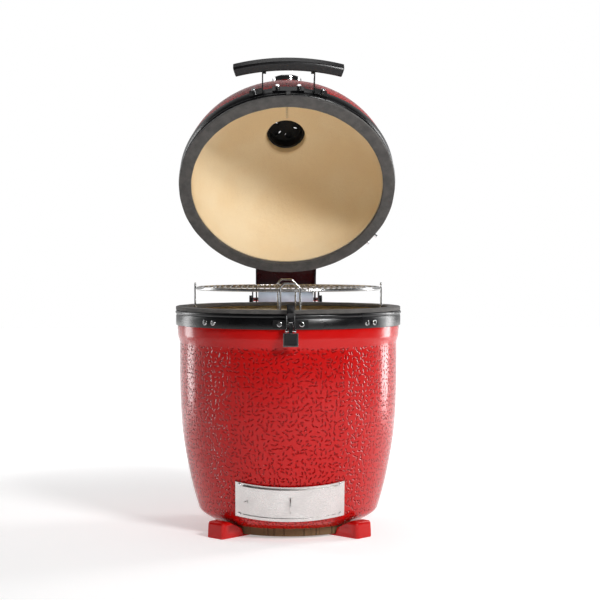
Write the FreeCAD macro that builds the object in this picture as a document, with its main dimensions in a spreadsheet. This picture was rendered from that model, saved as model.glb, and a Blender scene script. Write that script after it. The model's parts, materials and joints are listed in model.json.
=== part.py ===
"""Ceramic kamado charcoal grill, lid standing open on its rear hinge.

Frame: millimetres, +Z up, the floor at Z = 0 and the vertical axis of the pot at X = Y = 0.
The latch faces -Y and the hinge is at +Y. Lid pieces are drawn with the lid shut and are then
swung about the hinge pin to the open rest pose.
"""
import FreeCAD, Part
import math
import os
import Sketcher

SIZES = {
    # pot
    "rim_radius": (265, "outside of the ceramic collar"),
    "rim_height": (519, "top of the pot's ceramic"),
    "wall": (27, "ceramic wall"),
    "collar_depth": (59, "straight collar under the rim"),
    "collar_bevel": (15, "height of the bevel under the collar"),
    "collar_step": (5.3, "how far the collar stands out of the body"),
    "belly_inset": (9, "body inside the collar at belly level"),
    "belly_level": (263, "height of the belly"),
    "waist_inset": (26, "body inside the collar at waist level"),
    "waist_level": (147, "height of the waist"),
    "heel_inset": (47.5, "body inside the collar where the bottom turns in"),
    "heel_level": (61, "height where the bottom turns in"),
    "toe_inset": (85, "body inside the collar where the glaze ends"),
    "toe_level": (23, "height where the glaze ends"),
    "foot_ring_inset": (90, "bare foot ring inside the collar"),
    "foot_ring_width": (26, "width of the bare foot ring"),
    "floor_level": (55, "top of the pot's floor"),
    "floor_thickness": (25, "thickness of the pot's floor"),
    # feet
    "foot_width": (52, "width of a foot"),
    "foot_height": (38, "height of a foot"),
    "foot_inset": (20, "foot's outer end inside the collar"),
    "foot_pad": (4, "ledge of a foot under the foot ring"),
    "foot_round": (7, "rounding of a foot's corners"),
    # seals and bands
    "seal_width": (30, "width of a rim gasket"),
    "seal_thickness": (9, "thickness of a rim gasket"),
    "seal_gap": (0.5, "daylight between the two gaskets"),
    "band_height": (25, "flat part of a band"),
    "band_lip": (10, "rolled lip of a band"),
    "band_thickness": (4, "steel of a band"),
    "band_gap": (6, "split in a band at the back"),
    "fit_gap": (0.2, "clearance between parts that are bolted together"),
    # fire side
    "firebox_clearance": (33, "firebox inside the pot's bore"),
    "firebox_wall": (22, "wall of the firebox"),
    "firebox_drop": (79, "top of the firebox below the rim"),
    "grate_ledge": (135, "height of the ledge for the charcoal grate"),
    "charcoal_grate_thickness": (8, "thickness of the charcoal grate"),
    "fire_ring_clearance": (12, "fire ring inside the pot's bore"),
    "fire_ring_height": (60, "height of the fire ring"),
    # cooking rack
    "rack_clearance": (17, "centre line of the rack's rings inside the pot's bore"),
    "rack_wire": (2.3, "radius of the rack's wire"),
    "rack_rise": (50.5, "rack's upper ring above the rim"),
    "loop_width": (45, "width of the rack's lifting loops"),
    "loop_rise": (67, "top of a lifting loop above the rim"),
    "lift_gap": (0.3, "clearance under pieces that lift out"),
    "grate_inset": (3.5, "rim wire of a grate inside the rack's ring"),
    "grate_wire": (1.75, "radius of a grate bar"),
    "grate_rim_wire": (2, "radius of a grate's rim wire"),
    "grate_pitch": (13.5, "spacing of the grate bars"),
    # draft door and ash drawer
    "draft_tilt": (15, "lean of the draft plates, in degrees"),
    "draft_level": (86, "height of the middle of the draft plates"),
    "draft_stand_off": (5.5, "draft frame's face in front of the body"),
    "frame_half_width": (124.5, "half the width of the draft frame"),
    "frame_half_height": (42, "half the height of the draft frame"),
    "sheet": (2, "sheet of the draft frame"),
    "window_half_width": (100, "half the width of the draft window"),
    "window_half_height": (29.5, "half the height of the draft window"),
    "door_sheet": (1.5, "sheet of the drawer front and the draft door"),
    "door_gap": (0.5, "clearance round the sliding door"),
    "door_half_width": (105, "half the width of the draft door"),
    "door_half_height": (35, "half the height of the draft door"),
    "pull_radius": (18, "radius of the half-moon pull"),
    "tray_half_width": (92, "half the width of the ash tray"),
    "tray_low": (68, "underside of the ash tray"),
    "tray_height": (30, "height of the ash tray"),
    "tray_back": (60, "how far the ash tray reaches behind the axis"),
    "tray_sheet": (1.2, "sheet of the ash tray"),
    # hinge
    "hinge_back": (97, "hinge pin behind the collar"),
    "hinge_rise": (11, "hinge pin above the pot's rim"),
    "open_angle": (52.2, "how far the lid stands open, in degrees"),
    "pin_radius": (6, "hinge pin"),
    "running_gap": (0.05, "radial clearance of a running fit"),
    "ear_offset": (85, "inside of a base hinge ear from the middle"),
    "arm_offset": (75, "inside of a lid hinge arm from the middle"),
    "hinge_plate": (3.5, "steel of the hinge"),
    "barrel_radius": (22, "outside of the hinge barrel"),
    # lid
    "dome_height": (252, "top of the dome above its rim"),
    "dome_collar": (34, "straight collar of the dome"),
    "dome_fullness": (1.8, "exponent of the dome's curve"),
    "vent_bore": (50, "radius of the vent hole"),
    "handle_level": (24, "handle above the dome's rim"),
    "handle_stand_off": (81, "middle of the handle in front of the collar"),
    "handle_arc": (470, "radius of the handle's bow"),
    "handle_half_length": (129, "half the length of the handle"),
    "handle_section": (26, "height and depth of the handle"),
    "arm_spacing": (62, "handle arm from the middle"),
    "thermometer_slope": (51, "lean of the thermometer's axis, in degrees"),
    "thermometer_radius": (37, "outside of the thermometer's case"),
    "stem_length": (87, "length of the probe"),
    "stem_radius": (3, "radius of the probe"),
    # latch
    "latch_half_width": (40, "half the width of the latch plate"),
    "latch_height": (18.5, "height of the latch plate"),
    "lever_half_width": (4.5, "half the width of the latch lever at its pivot"),
    "grip_half_width": (17, "half the width of the lever's grip"),
    "bail_wire": (1.75, "radius of the bail's wire"),
    "bail_half_width": (9.5, "leg of the bail from the middle"),
    "bail_length": (60, "pivot of the bail to the top of its hook"),
    # fasteners
    "bolt_head": (6, "radius of a bolt head"),
    "bolt_head_height": (4, "height of a bolt head"),
    "bolt_shank": (3, "radius of a bolt shank"),
    "nut_height": (10, "height of the domed nuts on the lid band"),
    "stud_height": (17, "height of the side fitting's studs"),
}


class Size:
    """A length with its number and the spreadsheet formula that gives it."""

    def __init__(self, value, text):
        self.value = float(value)
        self.text = text

    def __add__(self, other):
        other = size(other)
        return Size(self.value + other.value, f"({self.text} + {other.text})")

    def __sub__(self, other):
        other = size(other)
        return Size(self.value - other.value, f"({self.text} - {other.text})")

    def __mul__(self, other):
        other = size(other)
        return Size(self.value * other.value, f"({self.text} * {other.text})")

    def __truediv__(self, other):
        other = size(other)
        return Size(self.value / other.value, f"({self.text} / {other.text})")

    def __pow__(self, other):
        other = size(other)
        return Size(self.value ** other.value, f"({self.text} ^ {other.text})")

    def __neg__(self):
        return Size(-self.value, f"(0 - {self.text})")

    def __radd__(self, other):
        return size(other) + self

    def __rsub__(self, other):
        return size(other) - self

    def __rmul__(self, other):
        return size(other) * self

    def __rtruediv__(self, other):
        return size(other) / self

    def root(self):
        return Size(math.sqrt(self.value), f"sqrt({self.text})")


def size(number):
    return number if isinstance(number, Size) else Size(number, f"{float(number):.6f}")


class Sheet:
    """The driving dimensions, each read as an attribute named like its cell's alias."""

    def __init__(self, doc, sizes):
        table = doc.addObject("Spreadsheet::Sheet", "Sizes")
        for row, (alias, (value, meaning)) in enumerate(sizes.items(), start=1):
            table.set(f"A{row}", meaning)
            table.set(f"B{row}", str(value))
            table.setAlias(f"B{row}", alias)
            setattr(self, alias, Size(value, f"Sizes.{alias}"))


doc = FreeCAD.newDocument("kamado_grill")
S = Sheet(doc, SIZES)
doc.recompute()

V = FreeCAD.Vector
NODES = []


# ---------------------------------------------------------------- drawing helpers

def bind(thing, prop, number):
    """Drives a property from the sheet, or sets it where the number is a plain one."""
    number = size(number)
    if "Sizes" in number.text or "." in prop:
        thing.setExpression(prop, number.text)
    else:
        setattr(thing, prop, number.value)


def node(thing, name, place=None):
    """Marks a finished sub-part, names it and puts it in its place."""
    thing.Label = name
    if place is not None:
        thing.Placement = place
    NODES.append(thing)
    return thing


def body(name):
    return doc.addObject("PartDesign::Body", name)


def sketch(owner, plane, offset=0):
    made = owner.newObject("Sketcher::SketchObject", f"{owner.Name}_outline")
    support = next(f for f in owner.Origin.OriginFeatures if f.Role == plane)
    made.AttachmentSupport = [(support, "")]
    made.MapMode = "FlatFace"
    bind(made, ".AttachmentOffset.Base.z", offset)
    return made


def pin_point(made, geometry, end, x, y):
    for kind, number in (("DistanceX", x), ("DistanceY", y)):
        number = size(number)
        rule = made.addConstraint(
            Sketcher.Constraint(kind, -1, 1, geometry, end, number.value))
        if "Sizes" in number.text:
            made.setExpression(f"Constraints[{rule}]", number.text)


def flat(x, y):
    return V(size(x).value, size(y).value, 0)


def outline(made, corners):
    """Closed outline through corners (x, y); (via_x, via_y, x, y) is reached by an arc."""
    sides = []
    for here, there in zip(corners, corners[1:] + corners[:1]):
        start = flat(*here[-2:])
        end = flat(*there[-2:])
        if len(there) == 4:
            side = made.addGeometry(Part.Arc(start, flat(*there[:2]), end))
            first = 1 if made.getPoint(side, 1).isEqual(start, 1e-6) else 2
        else:
            side = made.addGeometry(Part.LineSegment(start, end))
            first = 1
        sides.append((side, first))
    for (side, first), (following, next_first) in zip(sides, sides[1:] + sides[:1]):
        made.addConstraint(
            Sketcher.Constraint("Coincident", side, 3 - first, following, next_first))
    for (side, first), corner in zip(sides, corners):
        pin_point(made, side, first, *corner[-2:])
    for (side, _), there in zip(sides, corners[1:] + corners[:1]):
        if len(there) == 4:
            via = made.addGeometry(Part.Point(flat(*there[:2])), True)
            pin_point(made, via, 1, *there[:2])
            made.addConstraint(Sketcher.Constraint("PointOnObject", via, 1, side))
    return made


def rectangle(made, low_x, low_y, high_x, high_y):
    return outline(made, [(low_x, low_y), (high_x, low_y), (high_x, high_y), (low_x, high_y)])


def circle(made, x, y, radius):
    ring = made.addGeometry(Part.Circle(flat(x, y), V(0, 0, 1), size(radius).value))
    pin_point(made, ring, 3, x, y)
    rule = made.addConstraint(Sketcher.Constraint("Radius", ring, size(radius).value))
    if "Sizes" in size(radius).text:
        made.setExpression(f"Constraints[{rule}]", size(radius).text)
    return made


def bulge(low, high, rise):
    """The point halfway between two (radius, height) corners, pushed outwards by rise."""
    return ((low[0] + high[0]) / 2 + rise, (low[1] + high[1]) / 2)


def feature(kind, made):
    owner = made.getParentGeoFeatureGroup()
    result = owner.newObject(f"PartDesign::{kind}", f"{owner.Name}_{kind.lower()}")
    result.Profile = made
    return result


def revolve(made, angle=360, middle=False):
    turned = feature("Revolution", made)
    turned.ReferenceAxis = (made, ["V_Axis"])
    turned.Angle = angle
    turned.Midplane = middle
    return turned


def pad(made, length, middle=False):
    raised = feature("Pad", made)
    raised.SideType = "Symmetric" if middle else "One side"
    bind(raised, "Length", length)
    return raised


def pocket(made, length, forward=False, middle=False):
    sunk = feature("Pocket", made)
    sunk.SideType = "Symmetric" if middle else "One side"
    sunk.Reversed = forward
    bind(sunk, "Length", length)
    return sunk


def mirror(original, role="YZ_Plane"):
    owner = original.getParentGeoFeatureGroup()
    copy = owner.newObject("PartDesign::Mirrored", f"{owner.Name}_mirrored")
    copy.Originals = [original]
    plane = next(f for f in owner.Origin.OriginFeatures if f.Role == role)
    copy.MirrorPlane = (plane, [""])
    owner.Tip = copy
    return copy


def polar(original, count):
    owner = original.getParentGeoFeatureGroup()
    copies = owner.newObject("PartDesign::PolarPattern", f"{owner.Name}_polar")
    copies.Originals = [original]
    axis = next(f for f in owner.Origin.OriginFeatures if f.Role == "Z_Axis")
    copies.Axis = (axis, [""])
    copies.Angle = 360
    copies.Occurrences = count
    owner.Tip = copies
    return copies


def at(x, y, z, direction=V(0, 0, 1)):
    """A place at (x, y, z) whose own +Z points along direction."""
    turn = FreeCAD.Rotation(V(0, 0, 1), direction)
    return FreeCAD.Placement(V(size(x).value, size(y).value, size(z).value), turn)


def around(azimuth, radius, height):
    """A place facing outwards from the pot's axis; azimuth is in degrees from the front."""
    out_x = math.sin(math.radians(azimuth))
    out_y = -math.cos(math.radians(azimuth))
    reach = size(radius).value
    return at(reach * out_x, reach * out_y, height, V(out_x, out_y, 0))


def azimuth_of(half_chord, radius):
    """Degrees from the front of a point that lies half_chord to the side of the middle."""
    return math.degrees(math.asin(size(half_chord).value / size(radius).value))


def cylinder(name, radius, length, place=None):
    made = doc.addObject("Part::Cylinder", name)
    bind(made, "Radius", radius)
    bind(made, "Height", length)
    if place is not None:
        made.Placement = place
    return made


def box(name, low, high):
    made = doc.addObject("Part::Box", name)
    for axis, side, start, end in zip("xyz", ("Length", "Width", "Height"), low, high):
        bind(made, side, size(end) - start)
        bind(made, f".Placement.Base.{axis}", start)
    return made


def torus(name, radius, wire, height, sweep=360, turn=0):
    made = doc.addObject("Part::Torus", name)
    bind(made, "Radius1", radius)
    bind(made, "Radius2", wire)
    made.Angle3 = sweep
    made.Placement = FreeCAD.Placement(V(0, 0, 0), FreeCAD.Rotation(V(0, 0, 1), turn))
    bind(made, ".Placement.Base.z", height)
    return made


def cut(name, base, tool):
    made = doc.addObject("Part::Cut", name)
    made.Base = base
    made.Tool = tool
    return made


def common(name, first, second):
    made = doc.addObject("Part::Common", name)
    made.Base = first
    made.Tool = second
    return made


def fuse(name, pieces):
    made = doc.addObject("Part::MultiFuse", name)
    made.Shapes = pieces
    return made


def together(name, pieces):
    made = doc.addObject("Part::Compound", name)
    made.Links = pieces
    return made


def rod(name, points, radius):
    """Round wire bent through points: a cylinder along each run and a ball at each bend."""
    pieces = []
    for index, (start, end) in enumerate(zip(points, points[1:])):
        run = V(*end) - V(*start)
        pieces.append(cylinder(f"{name}_run", radius, run.Length, at(*start, run)))
        if index:
            ball = doc.addObject("Part::Sphere", f"{name}_bend")
            bind(ball, "Radius", radius)
            ball.Placement.Base = V(*start)
            pieces.append(ball)
    return pieces


def bolts(name, places, grip, place=None, head_size=None):
    """Round-headed bolts seated at places, their shanks reaching grip below the head."""
    made = []
    radius, height = head_size or (S.bolt_head, S.bolt_head_height)
    for seat in places:
        head = cylinder(f"{name}_head", radius, height)
        shank = cylinder(f"{name}_shank", S.bolt_shank, grip)
        bind(shank, ".Placement.Base.z", -size(grip))
        one = fuse(f"{name}_bolt", [head, shank])
        one.Placement = seat
        made.append(one)
    return node(together(name, made), name, place)


def drilled(name, base, places, depth, place=None):
    """Cuts a clear hole for a bolt shank at each place, through depth below it."""
    drills = []
    for seat in places:
        drill = cylinder(f"{name}_drill", S.bolt_shank + S.fit_gap, size(depth) + 2)
        drill.Placement = seat.multiply(at(0, 0, -size(depth) - 1))
        drills.append(drill)
    return node(cut(name, base, together(f"{name}_drills", drills)), name, place)


# ---------------------------------------------------------------- shared levels and places

rim_bore = S.rim_radius - S.wall
foot_reach = S.rim_radius - S.foot_inset
firebox_radius = rim_bore - S.firebox_clearance
firebox_top = S.rim_height - S.firebox_drop
fire_ring_radius = rim_bore - S.fire_ring_clearance
rack_radius = rim_bore - S.rack_clearance
rack_level = S.rim_height + S.rack_rise
hinge_y = S.rim_radius + S.hinge_back
hinge_z = S.rim_height + S.hinge_rise
base_face = S.rim_height + S.seal_thickness
lid_face = base_face + S.seal_gap
lid_rim = lid_face + S.seal_thickness
band_radius = S.rim_radius + S.band_thickness
lip_radius = band_radius + 1.5
seat_radius = lip_radius + S.fit_gap
strap = size(4)
base_bolt_level = S.rim_height - S.band_lip - S.band_height / 2
lid_bolt_level = lid_rim + S.band_lip + S.band_height / 2
band_grip = S.band_thickness - S.fit_gap

LID_OPEN = FreeCAD.Placement(
    V(0, 0, 0), FreeCAD.Rotation(V(1, 0, 0), -S.open_angle.value),
    V(0, hinge_y.value, hinge_z.value))


# ---------------------------------------------------------------- pot

def pot():
    """Thick cast pot: straight collar, full belly, rounded heel and a bare foot ring."""
    shell = body("base_shell")
    rim = S.rim_radius
    ring_out = rim - S.foot_ring_inset
    ring_in = ring_out - S.foot_ring_width
    toe = (rim - S.toe_inset, S.toe_level)
    heel = (rim - S.heel_inset, S.heel_level)
    waist = (rim - S.waist_inset, S.waist_level)
    belly = (rim - S.belly_inset, S.belly_level)
    collar_foot = S.rim_height - S.collar_depth
    shoulder = (rim - S.collar_step, collar_foot - S.collar_bevel)
    bore_shoulder = (rim_bore - S.collar_step, shoulder[1])
    bore_waist = (waist[0] - S.wall - 1, S.waist_level)
    bore_heel = (heel[0] - S.heel_inset, S.floor_level)
    outline(sketch(shell, "XZ_Plane"), [
        (ring_in, S.foot_pad),
        (ring_out, S.foot_pad),
        (ring_out, S.toe_level - 1),
        toe,
        (*bulge(toe, heel, 9.7), *heel),
        (*bulge(heel, waist, 1.2), *waist),
        (*bulge(waist, belly, 2.2), *belly),
        (*bulge(belly, shoulder, 1.5), *shoulder),
        (rim, collar_foot),
        (rim, S.rim_height),
        (rim_bore, S.rim_height),
        (rim_bore, collar_foot),
        bore_shoulder,
        (*bulge(bore_shoulder, bore_waist, 8), *bore_waist),
        (*bulge(bore_waist, bore_heel, 9), *bore_heel),
        (0, S.floor_level),
        (0, S.floor_level - S.floor_thickness),
        (ring_in, S.floor_level - S.floor_thickness),
    ])
    revolve(shell.Group[-1])
    window = sketch(shell, "XZ_Plane")
    rectangle(window, -S.window_half_width, S.floor_level + 6,
              S.window_half_width, S.floor_level + 56)
    pocket(window, S.rim_radius, forward=True)
    return node(shell, "base_shell")


def foot(name, azimuth):
    """Glazed foot block: the foot ring stands in its notch, the outer end shows."""
    made = body(name)
    ring_out = S.rim_radius - S.foot_ring_inset + S.fit_gap
    ring_in = ring_out - S.foot_ring_width - 2 * S.fit_gap
    heel = S.rim_radius - S.heel_inset
    side = sketch(made, "YZ_Plane")
    outline(side, [
        (-(ring_in - 14), 0),
        (-foot_reach, 0),
        (-foot_reach + 2, S.foot_height),
        (-(heel + 2), S.foot_height),
        (-(ring_out + 6), S.toe_level - 4),
        (-ring_out, S.foot_pad),
        (-ring_in, S.foot_pad),
        (-(ring_in - 14), S.foot_pad),
    ])
    block = pad(side, S.foot_width, middle=True)
    doc.recompute()
    outer = -(heel + 1).value
    corners = [f"Edge{n}" for n, edge in enumerate(block.Shape.Edges, start=1)
               if edge.BoundBox.YMax < outer and edge.BoundBox.ZMax > 1]
    rounded = made.newObject("PartDesign::Fillet", f"{name}_round")
    rounded.Base = (block, corners)
    bind(rounded, "Radius", S.foot_round)
    turn = FreeCAD.Rotation(V(0, 0, 1), azimuth)
    return node(made, name, FreeCAD.Placement(V(0, 0, 0), turn))


def seal(name, low, place=None):
    """Flat felt ring; it overhangs the collar so that it also covers the band's lip."""
    made = body(name)
    ring = sketch(made, "XZ_Plane")
    outside = S.rim_radius + S.band_thickness
    rectangle(ring, outside - S.seal_width, low, outside, low + S.seal_thickness)
    revolve(ring)
    return node(made, name, place)


def band(name, rim_level, side, bolt_places, place=None):
    """Split steel hoop with a rolled lip; side is +1 when it climbs away from rim_level."""
    hoop = body(f"{name}_hoop")
    inside = S.rim_radius + S.fit_gap
    lip = rim_level + side * S.band_lip
    end = lip + side * S.band_height
    outline(sketch(hoop, "XZ_Plane"), [
        (inside, rim_level),
        (lip_radius - 2, rim_level),
        (lip_radius, rim_level + side * S.band_lip / 2, lip_radius - 1, lip),
        (band_radius, lip),
        (band_radius, end),
        (inside, end),
    ])
    revolve(hoop.Group[-1])
    split = sketch(hoop, "XZ_Plane")
    low = rim_level if side > 0 else end
    rectangle(split, -S.band_gap / 2, low - 1, S.band_gap / 2,
              low + S.band_lip + S.band_height + 1)
    pocket(split, S.rim_radius + 2 * S.band_thickness)
    return drilled(name, hoop, bolt_places, 4 * S.band_thickness, place)


pot()
for foot_name, foot_azimuth in (
        ("foot_front_left", -45), ("foot_front_right", 45), ("foot_rear", 180)):
    foot(foot_name, foot_azimuth)
seal("base_gasket", S.rim_height)
seal("lid_gasket", lid_face, LID_OPEN)

plate_face = band_radius + strap
strap_face = seat_radius + strap
handle_bolt_azimuth = azimuth_of(S.arm_spacing + 18, band_radius)
shelf_azimuths = [-45.7, -40.3, 40.3, 45.7, 134.3, 139.7, 220.3, 225.7]
strap_azimuths = [167, 173, 187, 193]
side_azimuths = [127, 133]


def places_on(azimuths, radius, level):
    return [around(azimuth, radius, level) for azimuth in azimuths]


def places_ahead(offset, level):
    """Two places side by side on a flat plate across the front of a band."""
    return [at(side * offset, -plate_face, level, V(0, -1, 0)) for side in (-1, 1)]


base_bolts = {
    "latch_bolts": (places_ahead(25, base_bolt_level), plate_face),
    "shelf_bolts": (places_on(shelf_azimuths, band_radius, base_bolt_level), band_radius),
    "hinge_base_bolts": (places_on(strap_azimuths, strap_face, base_bolt_level), strap_face),
}
lid_bolts = {
    "keeper_bolts": (places_ahead(26, lid_bolt_level), plate_face),
    "handle_bolts": (places_on([-handle_bolt_azimuth, handle_bolt_azimuth], strap_face,
                               lid_bolt_level), strap_face),
    "lid_hinge_bolts": (places_on(strap_azimuths, strap_face, lid_bolt_level), strap_face),
    "side_bolts": (places_on(side_azimuths, strap_face, lid_bolt_level), strap_face),
}


bolt_heads = {
    "keeper_bolts": (S.bolt_head - 1, S.nut_height),
    "handle_bolts": (S.bolt_head - 1, S.nut_height),
    "side_bolts": (S.bolt_head * 0.7, S.stud_height),
}


def all_seats(families):
    return [seat for seats, _ in families.values() for seat in seats]


band("base_band", S.rim_height, -1, all_seats(base_bolts))
band("lid_band", lid_rim, 1, all_seats(lid_bolts), LID_OPEN)
for families, place in ((base_bolts, None), (lid_bolts, LID_OPEN)):
    for bolt_name, (seats, reach) in families.items():
        bolts(bolt_name, seats, reach - S.rim_radius - 2 * S.fit_gap, place,
              bolt_heads.get(bolt_name))


# ---------------------------------------------------------------- fire side

def firebox():
    """Ceramic fire bowl on the pot's floor, open at the front for the ash tray."""
    made = body("firebox")
    top = firebox_radius
    ledge = S.grate_ledge
    outline(sketch(made, "XZ_Plane"), [
        (top - 55, S.floor_level),
        (top - 20, S.floor_level + 45),
        (top - 5, ledge + 25),
        (top, firebox_top),
        (top - S.firebox_wall, firebox_top),
        (top - 5 - S.firebox_wall, ledge + 25),
        (top - 18 - S.firebox_wall, ledge),
        (top - 58 - S.firebox_wall, ledge),
        (top - 58 - S.firebox_wall, ledge - 12),
        (top - 25 - S.firebox_wall, ledge - 12),
        (top - 53 - S.firebox_wall, S.floor_level),
    ])
    revolve(made.Group[-1])
    arch = sketch(made, "XZ_Plane")
    half = S.tray_half_width + 5
    rectangle(arch, -half, S.floor_level - 1, half, S.tray_low + S.tray_height + 16)
    pocket(arch, S.rim_radius, forward=True)
    return node(made, "firebox")


def charcoal_grate():
    """Cast plate on the firebox ledge with two rings of air holes and one in the middle."""
    made = body("charcoal_grate")
    radius = firebox_radius - 18 - S.firebox_wall - 4
    disc = sketch(made, "XY_Plane", S.grate_ledge)
    circle(disc, 0, 0, radius)
    circle(disc, 0, 0, radius * 0.1)
    pad(disc, S.charcoal_grate_thickness)
    for ring, hole, count in ((0.38, 0.105, 8), (0.74, 0.11, 14)):
        air = sketch(made, "XY_Plane", S.grate_ledge)
        circle(air, radius * ring, 0, radius * hole)
        polar(pocket(air, S.charcoal_grate_thickness + 2, forward=True), count)
    return node(made, "charcoal_grate")


def fire_ring():
    """Ceramic ring that carries the cooking rack on top of the firebox."""
    made = body("fire_ring")
    low = firebox_top
    high = firebox_top + S.fire_ring_height
    bore = firebox_radius - S.firebox_wall + 5
    outline(sketch(made, "XZ_Plane"), [
        (bore, low), (fire_ring_radius - 6, low), (fire_ring_radius, low + 6),
        (fire_ring_radius, high - 3), (fire_ring_radius - 3, high), (bore + 3, high),
        (bore, high - 3)])
    revolve(made.Group[-1])
    return node(made, "fire_ring")


fire_ring_top = firebox_top + S.fire_ring_height
post_radius = rack_radius + S.rack_wire + 0.5


def cooking_rack():
    """Welded wire rack: two rings, a lifting loop front and back, a hooked post each side."""
    low = (fire_ring_top + S.lift_gap + S.rack_wire).value
    loop = S.loop_width.value / 2
    top = (S.rim_height + S.loop_rise).value
    reach = post_radius.value
    side_top = rack_level.value + 12
    pieces = [
        torus("rack_top_ring", rack_radius, S.rack_wire, rack_level),
        torus("rack_low_ring", rack_radius, S.rack_wire,
              fire_ring_top + S.lift_gap + S.rack_wire),
    ]
    for side in (-1, 1):
        pieces += rod("rack_loop", [
            (-loop, side * reach, low), (-loop, side * reach, top - 9),
            (-loop + 9, side * reach, top), (loop - 9, side * reach, top),
            (loop, side * reach, top - 9), (loop, side * reach, low)], S.rack_wire)
        pieces += rod("rack_post", [
            (side * reach, 0, low), (side * reach, 0, side_top),
            (side * reach, 10, side_top), (side * reach, 10, side_top - 5)], S.rack_wire)
    return node(fuse("cooking_rack", pieces), "cooking_rack")


def half_grate(name, side):
    """Half-moon grate: a bent rim wire, its straight edge, bars and two cross wires."""
    reach = rack_radius - S.grate_inset
    touch = S.rack_wire + S.grate_rim_wire + S.lift_gap
    level = rack_level + (touch * touch - S.grate_inset * S.grate_inset).root()
    pieces = [torus(f"{name}_rim", reach, S.grate_rim_wire, level, 180, -90 * side)]
    edge = S.grate_rim_wire.value + 1.5
    pitch = S.grate_pitch.value
    count = int((reach.value - edge) / pitch)
    for index in range(count + 1):
        x = edge + index * pitch
        half = math.sqrt(reach.value ** 2 - x ** 2)
        wire = S.grate_wire if index else S.grate_rim_wire
        bar = cylinder(f"{name}_bar", wire, 2 * half,
                       at(side * x, half, level, V(0, -1, 0)))
        pieces.append(bar)
    for y in (-0.5 * reach.value, 0.5 * reach.value):
        half = math.sqrt(reach.value ** 2 - y ** 2) - 14
        cross = cylinder(f"{name}_cross", S.grate_wire, half - edge,
                         at(side * edge, y, level - 3.2, V(side, 0, 0)))
        pieces.append(cross)
    return node(fuse(name, pieces), name)


firebox()
charcoal_grate()
fire_ring()
cooking_rack()
half_grate("grate_left", -1)
half_grate("grate_right", 1)


# ---------------------------------------------------------------- draft door and ash drawer

tilt = math.radians(S.draft_tilt.value)
waist_run = S.waist_level - S.heel_level
heel_share = (S.draft_level - S.heel_level) / waist_run
body_at_draft = S.rim_radius - S.heel_inset + (S.heel_inset - S.waist_inset) * heel_share + 1.2
frame_face = body_at_draft + S.draft_stand_off
frame_back = frame_face - S.sheet
front_back = frame_face + S.door_gap
front_face = front_back + S.door_sheet
door_back = front_face + S.door_gap
door_face = door_back + S.door_sheet
lip_back = door_face + S.door_gap
DRAFT = FreeCAD.Placement(
    V(0, frame_face.value * (math.cos(tilt) - 1),
      S.draft_level.value + frame_face.value * math.sin(tilt)),
    FreeCAD.Rotation(V(1, 0, 0), S.draft_tilt.value))


def rolled(owner, back, face, half_width, low, high):
    """Pads a sheet rolled about the tilted axis, from radius back to radius face."""
    inner_y = -((back * back - half_width * half_width).root())
    outer_y = -((face * face - half_width * half_width).root())
    made = sketch(owner, "XY_Plane", low)
    outline(made, [
        (-half_width, outer_y), (0, -face, half_width, outer_y),
        (half_width, inner_y), (0, -back, -half_width, inner_y)])
    return pad(made, size(high) - low)


def opening(owner, low_x, low_z, high_x, high_z):
    made = sketch(owner, "XZ_Plane")
    rectangle(made, low_x, low_z, high_x, high_z)
    return pocket(made, S.rim_radius + 10, forward=True)


def draft_frame():
    """Steel frame round the draft window on a fibre gasket that fills to the pot."""
    packing = body("draft_packing")
    inset = size(4)
    rolled(packing, frame_back - 12, frame_back, S.frame_half_width - inset,
           -S.frame_half_height + inset, S.frame_half_height - inset)
    opening(packing, -S.window_half_width, -S.window_half_height,
            S.window_half_width, S.window_half_height)
    packing.Placement = DRAFT
    pot_solid = next(thing for thing in NODES if thing.Label == "base_shell")
    node(cut("draft_gasket", packing, pot_solid), "draft_gasket")
    plate = body("draft_plate")
    rolled(plate, frame_back, frame_face, S.frame_half_width,
           -S.frame_half_height, S.frame_half_height)
    opening(plate, -S.window_half_width, -S.window_half_height,
            S.window_half_width, S.window_half_height)
    spread = azimuth_of(S.frame_half_width - 9, frame_face)
    rise = S.frame_half_height - 6
    corners = [around(side * spread, frame_face, level)
               for side in (-1, 1) for level in (-rise, rise)]
    drilled("draft_frame", plate, corners, S.sheet, DRAFT)
    bolts("draft_screws", corners, S.sheet - S.fit_gap, DRAFT,
          (S.bolt_head * 0.8, S.bolt_head_height * 0.6))


def drawer_front():
    """Rolled front of the ash drawer: an air window on the left and a channel for the door."""
    made = body("drawer_front")
    inside = S.door_half_height + S.door_gap
    outside = inside + S.door_sheet
    half = S.door_half_width + 3.5
    rolled(made, front_back, front_face, half, -outside, outside)
    opening(made, -S.window_half_width, -outside + 10, -S.window_half_width * 0.32,
            outside - 10)
    for low, high in ((-outside, -inside), (inside, outside)):
        rolled(made, front_face - 0.1, lip_back + 0.1, half, low, high)
    for low, high in ((-outside, -inside + 3.5), (inside - 3.5, outside)):
        rolled(made, lip_back, lip_back + S.door_sheet, half, low, high)
    return node(made, "drawer_front", DRAFT)


def draft_door():
    """Plain rolled door that slides sideways in the drawer front's channel."""
    made = body("draft_door")
    rolled(made, door_back, door_face, S.door_half_width,
           -S.door_half_height, S.door_half_height)
    node(made, "draft_door", DRAFT)
    pull = body("draft_pull")
    rolled(pull, door_face, door_face + 1, size(7), -S.pull_radius, S.pull_radius)
    fin = sketch(pull, "YZ_Plane")
    outline(fin, [
        (-door_face - 0.5, -S.pull_radius),
        (-door_face - 0.5 - S.pull_radius, 0, -door_face - 0.5, S.pull_radius)])
    pad(fin, 3, middle=True)
    node(pull, "draft_pull", DRAFT)
    seat = around(-azimuth_of(S.door_half_width - 5, door_face), door_face, 0)
    tab = box("stop_tab", (-4.5, -1.2, 0), (4.5, 1.2, 4))
    tip = box("stop_tip", (3.3, -3.6, 0), (4.5, 1.2, 4))
    node(fuse("draft_stop", [tab, tip]), "draft_stop", DRAFT.multiply(seat))


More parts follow.
